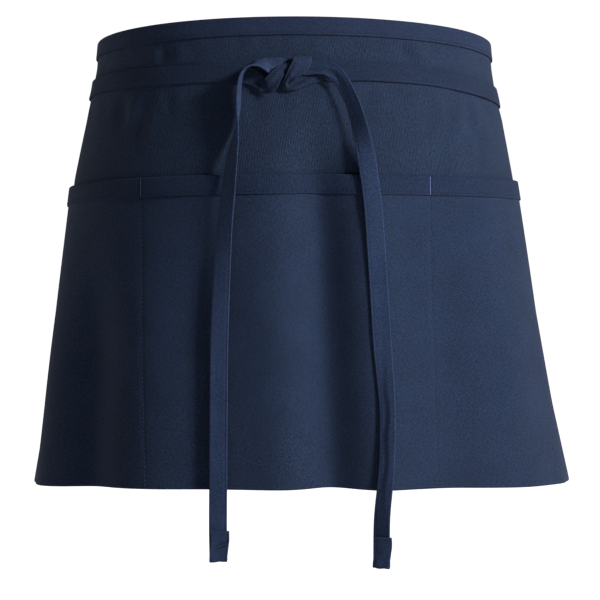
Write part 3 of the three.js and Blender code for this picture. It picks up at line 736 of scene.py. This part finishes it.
@dataclass
class Panel:
    """The one folded cloth: body panel, pocket and the pocket's mouth band, with their seams."""

    finishes: Finishes
    column_step: float = 2.2
    row_step: float = 3.4
    wall: float = CLOTH_WALL

    def columns(self) -> np.ndarray:
        """Places across the panel, closer at the dividers and puckers."""
        spots = DIVIDERS + tuple(p[0] - PATTERN_SHIFT for p in PUCKERS)
        half = 0.5 * PANEL_WIDTH
        inner = spaced(-half + 1, half - 1, self.column_step, spots, 0.9, 7.0)
        return np.concatenate([[-half, -half + 0.3], inner, [half - 0.3, half]])

    def extra(self, across: np.ndarray, down: np.ndarray) -> np.ndarray:
        """Small relief that all layers share: drape waves, and soft drag lines below the binding.

        It is a sum of slow sine waves across and down, each a few tenths of a millimetre high.

        Args:
            across: arc across the cloth.
            down: distance down it.

        Returns:
            Height in millimetres.
        """
        low = ease((down - 60) / 120)
        waves = 0.25 * np.sin(across / 13.7 + 0.9 * np.sin(down / 61)) * np.sin(down / 47 + 0.4)
        waves = waves + 0.35 * low * np.sin(across / 21.3 + 1.7) * (0.6 + 0.4 * np.sin(down / 83))
        belt = np.exp(-(((down - 47) / 16) ** 2)) * ease((down - 42) / 6)
        pull = 0.22 * belt * np.sin(across / 3.1 + 0.8 * np.sin(across / 17))
        collar = 0.16 * np.exp(-(((down - 14) / 5) ** 2)) * np.sin(across / 2.6 + 1.2 * np.sin(across / 23))
        return waves + pull + collar + self.creases(across, down)

    def creases(self, across: np.ndarray, down: np.ndarray) -> np.ndarray:
        """Slanting drag lines near the belt.

        Each is a ridge or valley along a straight line on the pattern: a bell across the line
        times a bell along it.

        Args:
            across: arc across the cloth.
            down: distance down it.

        Returns:
            Height in millimetres.
        """
        total = np.zeros(np.broadcast(across, down).shape)
        for x0, y0, x1, y1, half, height in CREASES:
            length = math.hypot(x1 - x0, y1 - y0)
            ux, uy = (x1 - x0) / length, (y1 - y0) / length
            along = (across - x0) * ux + (down - y0) * uy
            beside = (down - y0) * ux - (across - x0) * uy
            total = total + height * bump_at(beside, 0, half) * bump_at(along, 0.5 * length, 0.5 * length)
        return total

    def pocket_extra(self, across: np.ndarray, down: np.ndarray) -> np.ndarray:
        """Relief of the pocket alone: fullness between its seams, and a dent along each divider.

        Fullness is a half sine between dividers that dies out towards the hem. A dent is a narrow
        bell across the divider with small stitch puckers beside it.

        Args:
            across: arc across the cloth.
            down: distance down it.

        Returns:
            Height in millimetres.
        """
        marks = np.array([-0.5 * PANEL_WIDTH, *DIVIDERS, 0.5 * PANEL_WIDTH])
        share = np.interp(across, marks, np.arange(4.0))
        full = 0.9 * np.sin(np.pi * (share % 1.0)) * (1 - ease((down - MOUTH) / POCKET_DEPTH))
        dent = 0.0
        for spot in DIVIDERS:
            side = 0.25 * np.sin(down / 2.3 + 1.9 * np.sin(down / 19))
            pinch = 0.16 * side * bump_at(np.abs(across - spot), 4.2, 2.6)
            dent = dent - 0.28 * bump_at(across, spot, 1.3) + pinch
        return np.maximum(full + dent, -0.3)

    def strip(self, name: str, line: np.ndarray, wall: float, pocket: bool) -> bpy.types.Object:
        """Sweep a thick line in (down, out) across the panel.

        Args:
            name: the piece's name.
            line: the wall's middle, points by 2.
            wall: its thickness.
            pocket: True where the pocket's own relief applies.

        Returns:
            The object.
        """
        ring = thick_line(line, wall)
        columns = self.columns()
        across, down = np.meshgrid(columns, ring[:, 0], indexing="ij")
        out = np.broadcast_to(ring[:, 1], down.shape) + self.extra(across, down)
        if pocket:
            out = out + self.pocket_extra(across, down) * ease((PANEL_LENGTH - 3 - down) / 20)
        # The side edges are rounded: the last columns close in on the wall's middle
        edge = np.clip((0.5 * PANEL_WIDTH - np.abs(across)) / 0.3, 0, 1)
        middle = 0.5 * (out + out[:, ::-1])
        out = middle + (out - middle) * (0.35 + 0.65 * edge)
        points = CLOTH.layer(across, down, out)
        return closed_mesh(name, points, np.stack([across, down], -1))

    def build(self) -> list[bpy.types.Object]:
        """Make the panel's pieces and seams."""
        f = self.finishes
        w = self.wall
        body_rows = spaced(0, PANEL_LENGTH - 1.4, self.row_step, (12, 19, 45, 56), 1.6, 8)
        body_rows = rounded_ends(0, PANEL_LENGTH - 1.4, body_rows, w)
        line = np.stack([body_rows, np.full(body_rows.shape, -0.5 * w)], -1)
        body = self.strip("body_panel_cloth", line, w, False)
        settle(body, "body_cloth", f.body, "body_panel")

        near = POCKET_GAP
        low, high = MOUTH + 0.5, PANEL_LENGTH - 1.0
        rows = rounded_ends(low, high, spaced(low, high, self.row_step, (MOUTH + 14,), 1.6, 6), w)
        middle = near + 0.5 * w
        turn = np.radians(np.linspace(12, 180, 12))
        radius = 0.5 * (middle + 0.5 * w)
        hem = PANEL_LENGTH - 0.5 * w
        fold = np.stack([hem - radius + radius * np.sin(turn), middle - radius + radius * np.cos(turn)], -1)
        rows = rows[rows < fold[0, 0] - 0.4]
        line = np.concatenate([np.stack([rows, np.full(rows.shape, middle)], -1), fold])
        pocket = self.strip("pocket_cloth", line, w, True)
        settle(pocket, "pocket_cloth", f.pocket, "pocket_panel")

        # The band is the pocket's own hem turned over to the outside, so its top edge is a fold
        band_wall = CLOTH_WALL
        foot = MOUTH + BAND_DEPTH
        out = near + w + BAND_GAP + 0.5 * band_wall
        legs = rounded_ends(MOUTH + 1.2, foot, spaced(MOUTH + 1.2, foot, 1.2, (), 1.2, 1), band_wall)[::-1]
        roll = np.radians(np.linspace(10, 165, 10))
        wide = 0.5 * (out - near - 0.2)
        top = np.stack([MOUTH + 0.45 + wide - wide * np.sin(roll), out - wide + wide * np.cos(roll)], -1)
        legs = legs[legs > top[0, 0] + 0.3]
        front = np.stack([legs, np.full(legs.shape, out)], -1)
        # A shallow groove where the seam pulls the band down
        front[:, 1] -= 0.16 * bump_at(front[:, 0], foot - BAND_SEAM, 0.7)
        band = self.strip("mouth_band_cloth", np.concatenate([front, top]), band_wall, True)
        settle(band, "band_cloth", f.band, "pocket_mouth_band")

        return [body, pocket, band, *self.seams()]

    def seams(self) -> list[bpy.types.Object]:
        """Threads of the band's foot, the pocket dividers and the pocket's sides."""
        f = self.finishes
        made = []
        half = 0.5 * PANEL_WIDTH
        pocket_face = POCKET_GAP + self.wall
        band_face = pocket_face + BAND_GAP + CLOTH_WALL
        inner_face = -self.wall - 0.02
        row = Stitches(pitch=2.9, length=2.0, thick=0.4)
        foot = MOUTH + BAND_DEPTH
        end = PANEL_LENGTH - 1.5
        seam = self.run_across(row, "band_stitches", half - 3, foot - BAND_SEAM, band_face - 0.12)
        # The band's stitches are near-black: a painted shade of their sunk holes
        made.append(settle(seam, "band_cloth", f.groove_shade_thread))
        for index, spot in enumerate(DIVIDERS):
            side = ("right", "left")[index]
            bar = Stitches(pitch=1.05, length=1.9, thick=0.55)
            pale = Stitches(pitch=2.9, length=1.9, thick=0.42)
            tack = self.run_down(bar, f"{side}_bar_tack", spot, MOUTH + 1.0, foot - 0.6, band_face + 0.02)
            made.append(settle(tack, "band_cloth", (f.thread, f.pale_thread)[index]))
            row = self.run_down(pale, f"{side}_divider_stitches", spot, foot + 1, end, pocket_face - 0.06)
            made.append(settle(row, "pocket_cloth", f.thread))
            row = pale.downwards(f"{side}_divider_inside", spot, MOUTH, PANEL_LENGTH - 2, inner_face)
            made.append(settle(row, "body_cloth", f.thread))
            edge = (-half + 5.0, half - 5.0)[index]
            row = self.run_down(pale, f"{side}_side_stitches", edge, MOUTH + 1, end, pocket_face)
            made.append(settle(row, "pocket_cloth", f.thread))
            row = pale.downwards(f"{side}_side_inside", edge, 12, PANEL_LENGTH - 2, inner_face)
            made.append(settle(row, "body_cloth", f.thread))
        return made

    def run_across(self, row: Stitches, name: str, half: float, down: float, out: float) -> bpy.types.Object:
        """A row of stitches across the band, lifted by the pocket's own relief."""
        across = row.places(-half, half)
        level = np.full(across.shape, down)
        return self.raise_row(row, name, across, level, out, True)

    def run_down(
        self, row: Stitches, name: str, across: float, low: float, high: float, out: float,
    ) -> bpy.types.Object:
        """A row of stitches down the pocket, lifted by the pocket's own relief."""
        down = row.places(low, high)
        return self.raise_row(row, name, np.full(down.shape, across), down, out, False)

    def raise_row(
        self, row: Stitches, name: str, across: np.ndarray, down: np.ndarray, out: float, sideways: bool,
    ) -> bpy.types.Object:
        """Stitches on the pocket's face, whose relief is added to their stand-off.

        Args:
            row: the stitch.
            name: the piece's name.
            across: arcs across the cloth.
            down: distances down it.
            out: stand-off of the plain face.
            sideways: True for a row across the cloth.

        Returns:
            The object.
        """
        place, normal = CLOTH.frame(across, down)
        fade = ease((PANEL_LENGTH - 3 - down) / 20)
        lift = out + self.extra(across, down) + self.pocket_extra(across, down) * fade
        step = (0.5, 0.0) if sideways else (0.0, 0.5)
        along = CLOTH.point(across + step[0], down + step[1]) - CLOTH.point(across - step[0], down - step[1])
        along /= np.linalg.norm(along, axis=1, keepdims=True)
        return row.mesh(name, place + normal * lift[:, None], along, normal)


@dataclass
class Binding:
    """The tape folded over the panel's top edge, sewn through both legs."""

    finishes: Finishes
    panel: Panel
    wall: float = BINDING_WALL

    def build(self) -> list[bpy.types.Object]:
        """Make the binding: a thick line up the outer leg, over a half circle and down the inner leg."""
        f = self.finishes
        outer = BINDING_GAP + 0.5 * self.wall
        inner = -self.panel.wall - BINDING_GAP - 0.5 * self.wall
        radius = 0.5 * (outer - inner)
        foot = TAPE_WIDTH - BINDING_RISE
        legs = np.concatenate([
            foot - 0.5 * self.wall * np.array([0, 0.08, 0.3, 0.65, 1.0]),
            np.arange(foot - 1.0, radius - BINDING_RISE + 0.5, -0.75),
        ])
        turn = np.radians(np.linspace(0, 180, 13))
        rise = -BINDING_RISE + 0.5 * self.wall + radius - radius * np.sin(turn)
        top = np.stack([rise, outer - radius + radius * np.cos(turn)], -1)
        legs = legs[legs > top[0, 0] + 0.3]
        groove = 0.18 * bump_at(legs, foot - BINDING_SEAM, 0.6)
        line = np.concatenate([
            np.stack([legs, outer - groove], -1), top, np.stack([legs[::-1], inner + groove[::-1]], -1),
        ])
        binding = self.panel.strip("waist_binding_tape", line, self.wall, False)
        settle(binding, "binding_tape", f.binding, "waist_binding")
        half = 0.5 * PANEL_WIDTH - 2
        row = Stitches(pitch=2.8, length=1.9, thick=0.4)
        seam = foot - BINDING_SEAM
        sunk = 0.5 * self.wall - 0.12
        front = self.row(row, "binding_stitches", half, seam, outer + sunk)
        back = self.row(row, "binding_stitches_inside", half, seam, inner - sunk)
        # The front stitches are near-black: a painted shade of their groove; the inside ones are plain navy
        settle(front, "binding_tape", f.groove_shade_thread)
        settle(back, "binding_tape", f.thread)
        return [binding, front, back]

    def row(self, row: Stitches, name: str, half: float, down: float, out: float) -> bpy.types.Object:
        """A row of stitches along the binding's foot, on the outer or the inner leg."""
        across = row.places(-half, half)
        level = np.full(across.shape, down)
        place, normal = CLOTH.frame(across, level)
        lift = out + self.panel.extra(across, level)
        along = CLOTH.point(across + 0.5, level) - CLOTH.point(across - 0.5, level)
        along /= np.linalg.norm(along, axis=1, keepdims=True)
        return row.mesh(name, place + normal * lift[:, None], along, normal if out > 0 else -normal)


def catmull(points: np.ndarray, params: np.ndarray, power: float) -> np.ndarray:
    """Catmull-Rom curve through points at fractional indices, by cubic Hermite spans.

    With power 0.25 of the squared gap the knots are centripetal, with 0 they are uniform.

    Args:
        points: n by d.
        params: fractional indices from 0 to n-1.
        power: power of the squared distance between points that gives the knot spacing.

    Returns:
        The curve's points.
    """
    n = len(points)
    first = 2 * points[0] - points[1]
    last = 2 * points[-1] - points[-2]
    padded = np.concatenate([[first], points, [last]])
    gap = np.maximum(np.sum(np.diff(padded, axis=0) ** 2, axis=1) ** power, 1e-4)
    i = np.clip(params.astype(int), 0, n - 2)
    t = (params - i)[:, None]
    p0, p1, p2, p3 = padded[i], padded[i + 1], padded[i + 2], padded[i + 3]
    d0, d1, d2 = gap[i][:, None], gap[i + 1][:, None], gap[i + 2][:, None]
    t1 = ((p1 - p0) / d0 - (p2 - p0) / (d0 + d1) + (p2 - p1) / d1) * d1
    t2 = ((p2 - p1) / d1 - (p3 - p1) / (d1 + d2) + (p3 - p2) / d2) * d1
    c2 = -3 * p1 + 3 * p2 - 2 * t1 - t2
    c3 = 2 * p1 - 2 * p2 + t1 + t2
    return p1 + t1 * t + c2 * t ** 2 + c3 * t ** 3


@dataclass
class Tie:
    """One tie: from its own corner round the back and the far side, into the half knot, and down.

    Attributes:
        name: the piece's name.
        corner: -1 or 1, the end of the binding that it runs on from.
        round_rows: its route round the waist.
        knot_rows: its route through the knot and down.
        finer: how many stations replace each station of the solid.
        wall: thickness of the folded tape.
    """

    finishes: Finishes
    name: str
    corner: int
    round_rows: tuple
    knot_rows: tuple
    finer: int = 4
    wall: float = TIE_WALL

    def pair(self, upper: np.ndarray, lower: np.ndarray) -> tuple[np.ndarray, np.ndarray]:
        """Middle and edge direction from the tape's two edges."""
        edge = lower - upper
        return 0.5 * (upper + lower), edge / np.linalg.norm(edge, axis=-1, keepdims=True)

    def round_stations(self) -> tuple[np.ndarray, np.ndarray, np.ndarray]:
        """Stations round the waist, smoothed in angle, depth and stand-off.

        Returns:
            Middles, edge directions and width shares.
        """
        across = self.corner * (0.5 * PANEL_WIDTH + 0.6)
        start = float(CLOTH.angle_level(across, self.round_rows[0][1])[0]) - self.corner * 2 * math.pi
        knots = np.array([
            (start if row[0] is None else math.radians(row[0]), row[1], row[2])
            for row in self.round_rows
        ])
        params = np.concatenate([
            i + np.arange(row[3] * self.finer) / (row[3] * self.finer)
            for i, row in enumerate(self.round_rows[:-1])
        ])
        path = catmull(knots, params, 0.0)
        down = path[:, 1]
        level = down + CLOTH.dip(path[:, 0], down)
        upper = CLOTH.section_point(path[:, 0], level - 0.5 * TAPE_WIDTH, path[:, 2])
        lower = CLOTH.section_point(path[:, 0], level + 0.5 * TAPE_WIDTH, path[:, 2])
        middle, edge = self.pair(upper, lower)
        # The first stations leave the panel's own corner
        at = np.array([across])
        row = self.round_rows[0]
        top = CLOTH.layer(at, np.array([row[1] - 0.5 * TAPE_WIDTH]), np.array([row[2]]))
        foot = CLOTH.layer(at, np.array([row[1] + 0.5 * TAPE_WIDTH]), np.array([row[2]]))
        corner_middle, corner_edge = self.pair(top, foot)
        first = self.round_rows[0][3] * self.finer // 3
        share = ease(np.arange(len(params)) / first)[:, None]
        middle = corner_middle * (1 - share) + middle * share
        edge = corner_edge * (1 - share) + edge * share
        return middle, edge, np.ones(len(params))

    def front_stations(self) -> tuple[np.ndarray, np.ndarray, np.ndarray]:
        """Stations through the knot and down the front, on smooth curves through the table's rows."""
        rows = np.array([row[:7] for row in self.knot_rows], float)
        level = -rows[:, 1] / FALL
        angle = np.arcsin((rows[:, 0] - CLOTH.centre(level)) / CLOTH.half_width(level))
        upper = CLOTH.section_point(angle, level - 0.5 * TAPE_WIDTH, rows[:, 2])
        lower = CLOTH.section_point(angle, level + 0.5 * TAPE_WIDTH, rows[:, 2])
        middle, down = self.pair(upper, lower)
        outward = CLOTH.section_point(angle, level, 1.0) - CLOTH.section_point(angle, level, 0.0)
        sideways = np.stack([-outward[:, 1], outward[:, 0], 0 * level], -1)
        edge = sideways * rows[:, 3:4] - down * rows[:, 4:5] + outward * rows[:, 5:6]
        edge /= np.linalg.norm(edge, axis=1, keepdims=True)
        params = np.concatenate([
            i + np.arange(row[7] * self.finer) / (row[7] * self.finer)
            for i, row in enumerate(self.knot_rows[:-1])
        ] + [[len(rows) - 1.0]])
        share = catmull(rows[:, 6:7], params, 0.0)[:, 0]
        return catmull(middle, params, 0.25), catmull(edge, params, 0.0), share

    def stations(self) -> tuple[np.ndarray, np.ndarray, np.ndarray]:
        """All stations, with the end turned up to the front over its last stretch."""
        parts = [self.round_stations(), self.front_stations()]
        middle, edge, share = (np.concatenate([p[n] for p in parts]) for n in range(3))
        edge = edge / np.linalg.norm(edge, axis=1, keepdims=True)
        along = middle[-1] - middle[-2]
        along /= np.linalg.norm(along)
        front = np.cross(edge[-1], along)
        front /= np.linalg.norm(front)
        if front[1] > 0:
            front = -front
        radius = 0.5 * (self.wall + TURN_ROOM)
        turn = np.radians(np.linspace(15, 180, 12))[:, None]
        bend = middle[-1] + front * radius * (1 - np.cos(turn)) + along * radius * np.sin(turn)
        back = np.linspace(0.04, 1, 22)[:, None]
        flap = middle[-1] + front * 2 * radius - along * TURNED_END * back
        # The flap's free end curls up a little
        flap = flap + front * 0.7 * ease((back - 0.8) / 0.2)
        # It is folded slightly off the line of the tape
        flap = flap + edge[-1] * math.copysign(TURN_ASIDE, edge[-1][0]) * np.minimum(1, back / 0.7)
        middle = np.concatenate([middle, bend, flap])
        count = len(bend) + len(flap)
        edge = np.concatenate([edge, np.repeat(edge[-1:], count, axis=0)])
        width = np.concatenate([share, np.full(len(bend), 0.97), np.linspace(0.99, 1.04, len(flap))])
        return middle, edge, width

    def section(self, share: np.ndarray, run: np.ndarray) -> tuple[np.ndarray, np.ndarray, np.ndarray]:
        """Cross-section of the folded tape at every station.

        The tape's middle line is flat where it has its full width, and pleats into three half
        waves where the knot squeezes it. Its thickness dips along the stitches near one edge, and
        rounds off at both edges.

        Args:
            share: width shares.
            run: distance along the tie.

        Returns:
            Places across (stations by k), middle height and half thickness there.
        """
        v = np.array([
            -6, -5.93, -5.7, -5.3, -4.6, -3.6, -2.4, -1.2, 0, 1.2, 2.4,
            3.3, 3.9, 4.2, TIE_SEAM, 4.7, 5.0, 5.4, 5.75, 5.94, 6,
        ])
        gather = np.clip(1 - share, 0, 1)[:, None]
        phase = 0.6 * np.sin(run / 5.0)[:, None]
        # Arc length kept: for a sine of h half waves, height is about the root of the lost width
        height = 1.25 * np.sqrt(gather * share[:, None]) * (1 - (v / 6.3) ** 2)
        bow = 0.25 * (1 - (v / 6) ** 2) * np.sin(run / 31)[:, None]
        wave = height * np.sin(np.pi * 1.5 * (v / 6) + phase) + bow
        edge = np.sqrt(np.clip(1 - np.clip((np.abs(v) - 5.4) / 0.6, 0, 1) ** 2, 0.03, 1))
        thin = 0.36 * bump_at(v, TIE_SEAM, 0.42) + 0.07 * np.cos(v / 6 * 1.2) ** 2
        half = 0.5 * self.wall * edge * (1 - thin)
        puff = 1 + 0.10 * np.sin(run / 1.4)[:, None] * bump_at(v, 5.3, 0.6)
        return v * share[:, None], wave, half[None, :] * puff

    def build(self, slot_node: str) -> list[bpy.types.Object]:
        """Sweep the section along the stations, and sew it.

        Args:
            slot_node: the solid that it replaces.

        Returns:
            The tie, its stitches and its end's stitches.
        """
        middle, edge, share = self.stations()
        along = np.gradient(middle, axis=0)
        along /= np.linalg.norm(along, axis=1, keepdims=True)
        edge = edge - along * np.sum(edge * along, axis=1, keepdims=True)
        edge /= np.linalg.norm(edge, axis=1, keepdims=True)
        face = np.cross(along, edge)
        run = np.concatenate([[0], np.cumsum(np.linalg.norm(np.diff(middle, axis=0), axis=1))])
        v, wave, half = self.section(share, run)
        base = middle[:, None, :] + edge[:, None, :] * v[..., None]
        near = base + face[:, None, :] * (wave - half)[..., None]
        far = base + face[:, None, :] * (wave + half)[..., None]
        rings = np.concatenate([near, far[:, ::-1]], axis=1)
        wide = np.concatenate([v, v[:, ::-1]], axis=1)
        uv = np.stack([np.broadcast_to(run[:, None], wide.shape), wide], -1)
        tape = closed_mesh(self.name, rings, uv)
        settle(tape, "tie_tape", self.finishes.tie, slot_node)
        return [tape, *self.sewing(middle, edge, face, along, run, share)]

    def sewing(
        self, middle: np.ndarray, edge: np.ndarray, face: np.ndarray, along: np.ndarray, run: np.ndarray,
        share: np.ndarray,
    ) -> list[bpy.types.Object]:
        """Stitches along the stitched edge on both faces, and the short rows that hold the end.

        Args:
            middle: station middles.
            edge: station edge directions.
            face: station face normals.
            along: station directions.
            run: distance along.
            share: width shares.

        Returns:
            The stitch pieces.
        """
        row = Stitches(pitch=2.8, length=1.9, thick=0.38)
        end = run[-1] - TURNED_END - 2
        at = row.places(2, end)
        where, over, out, ahead = (
            np.stack([np.interp(at, run, values[:, n]) for n in range(3)], -1)
            for values in (middle, edge, face, along)
        )
        over, out, ahead = (
            values / np.linalg.norm(values, axis=1, keepdims=True) for values in (over, out, ahead)
        )
        width = np.interp(at, run, share)
        v, wave, half = self.section(width, at)
        col = int(np.argmin(np.abs(v[0] / width[0] - TIE_SEAM)))
        base = where + over * v[:, col][:, None]
        made = []
        for index, sign in enumerate((-1, 1)):
            spot = base + out * (wave[:, col] + sign * (half[:, col] - 0.02))[:, None]
            name = f"{self.name}_stitches_{('a', 'b')[index]}"
            made.append(settle(row.mesh(name, spot, ahead, sign * out), "tie_tape", self.finishes.thread))
        # Two short rows across the turned end, 8 to 12 mm above the fold, near-black as a painted shade of
        # their holes
        flap = run[-1] - TURNED_END
        across = np.tile(np.linspace(-0.5, 4.6, 5), 2)
        up = np.repeat([8.0, 10.2], 5) + 0.35 * across
        where = np.stack([np.interp(flap + up, run, middle[:, n]) for n in range(3)], -1)
        over = np.repeat(edge[-1:], len(up), axis=0)
        out = face[-1] if face[-1][1] < 0 else -face[-1]
        out = np.repeat(out[None], len(up), axis=0)
        spot = where + over * across[:, None] + out * (0.5 * self.wall)
        tack = Stitches(pitch=1.3, length=1.5, thick=0.5)
        held = tack.mesh(f"{self.name}_end_stitches", spot, over, out)
        made.append(settle(held, "tie_tape", self.finishes.groove_shade_thread))
        return made


@dataclass
class Studio:
    """Camera at the photograph's viewing angle, soft lights, and a pale floor a metre below.

    Attributes:
        lens: focal length in millimetres on a 36 mm sensor.
        place: the camera's place in metres.
        tilt: how far it looks down, in degrees.
        shift: the lens shift, in sensor widths.
    """

    lens: float = 186.2
    place: tuple = (0.0, -2.115, 0.015)
    tilt: float = 5.63
    shift: tuple = (0.0038, 0.002)

    def camera(self) -> None:
        """Make the camera."""
        data = bpy.data.cameras.new("camera")
        data.lens, data.sensor_width = self.lens, 36.0
        data.shift_x, data.shift_y = self.shift
        data.clip_end = 4000.0
        obj = bpy.data.objects.new("camera", data)
        obj.location = self.place
        obj.rotation_euler = (math.radians(90 - self.tilt), 0, 0)
        bpy.context.scene.collection.objects.link(obj)
        bpy.context.scene.camera = obj

    def lamp(self, name: str, place: tuple, target: tuple, size: float, power: float) -> None:
        """Make one soft square lamp that faces a target."""
        data = bpy.data.lights.new(name, "AREA")
        data.shape, data.size, data.energy = "SQUARE", size, power
        obj = bpy.data.objects.new(name, data)
        obj.location = place
        direction = Vector(target) - Vector(place)
        obj.rotation_euler = direction.to_track_quat("-Z", "Y").to_euler()
        bpy.context.scene.collection.objects.link(obj)

    def lights(self) -> None:
        """Key from the right, in front and above; two weak rims from behind; dim surroundings."""
        scene = bpy.context.scene
        world = bpy.data.worlds.new("studio")
        scene.world = world
        world.use_nodes = True
        background = world.node_tree.nodes["Background"]
        background.inputs["Color"].default_value = linear("ffffff")
        background.inputs["Strength"].default_value = 0.08
        self.lamp("key", (1.86, -1.3, 0.9), (0, 0, -0.15), 0.5, 172.0)
        self.lamp("rim_left", (-1.9, 0.9, 0.3), (0, 0, -0.15), 1.0, 15.0)
        self.lamp("rim_right", (1.9, 1.2, 0.3), (0, 0, -0.15), 1.0, 8.0)
        scene.view_settings.view_transform = "Standard"

    def floor(self) -> None:
        """Make the pale floor: a very wide plane of matt white board that glows away from the apron."""
        mesh = bpy.data.meshes.new("floor")
        side, height = 1500.0, -1.0
        mesh.from_pydata(
            [(-side, -side, height), (side, -side, height), (side, side, height), (-side, side, height)],
            [], [(0, 1, 2, 3)],
        )
        obj = bpy.data.objects.new("floor", mesh)
        made = bpy.data.materials.new("matt_white_board")
        made.use_nodes = True
        shader = made.node_tree.nodes["Principled BSDF"]
        shader.inputs["Base Color"].default_value = linear("e6e6e6")
        shader.inputs["Roughness"].default_value = 0.9
        shader.inputs["Emission Color"].default_value = linear("ffffff")
        # Lit evenly from afar, and less so under the apron, so that it doesn't wash out the shadows
        tree = made.node_tree
        place = add_node(tree, "TexCoord").outputs["Object"]
        away = add_node(tree, "VectorMath", {0: place}, operation="LENGTH")
        glow = add_node(tree, "MapRange", {
            "Value": away.outputs["Value"], "From Min": 1.2, "From Max": 3.0,
            "To Min": 0.0, "To Max": 1.0,
        })
        tree.links.new(glow.outputs[0], shader.inputs["Emission Strength"])
        mesh.materials.append(made)
        bpy.context.scene.collection.objects.link(obj)


def main() -> None:
    """Load the frame, build the apron and the studio; the solids that the pieces replace stay in the scene,
    hidden.
    """
    logging.basicConfig(level=logging.INFO, format="%(message)s")
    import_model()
    studio = Studio()
    studio.camera()
    finishes = Finishes()
    panel = Panel(finishes)
    panel.build()
    Binding(finishes, panel).build()
    Tie(finishes, "left_tie_tape", -1, LEFT_ROUND, LEFT_KNOT).build("tie_left")
    Tie(finishes, "right_tie_tape", 1, RIGHT_ROUND, RIGHT_KNOT).build("tie_right")
    studio.lights()
    studio.floor()


if __name__ == "__main__":
    main()
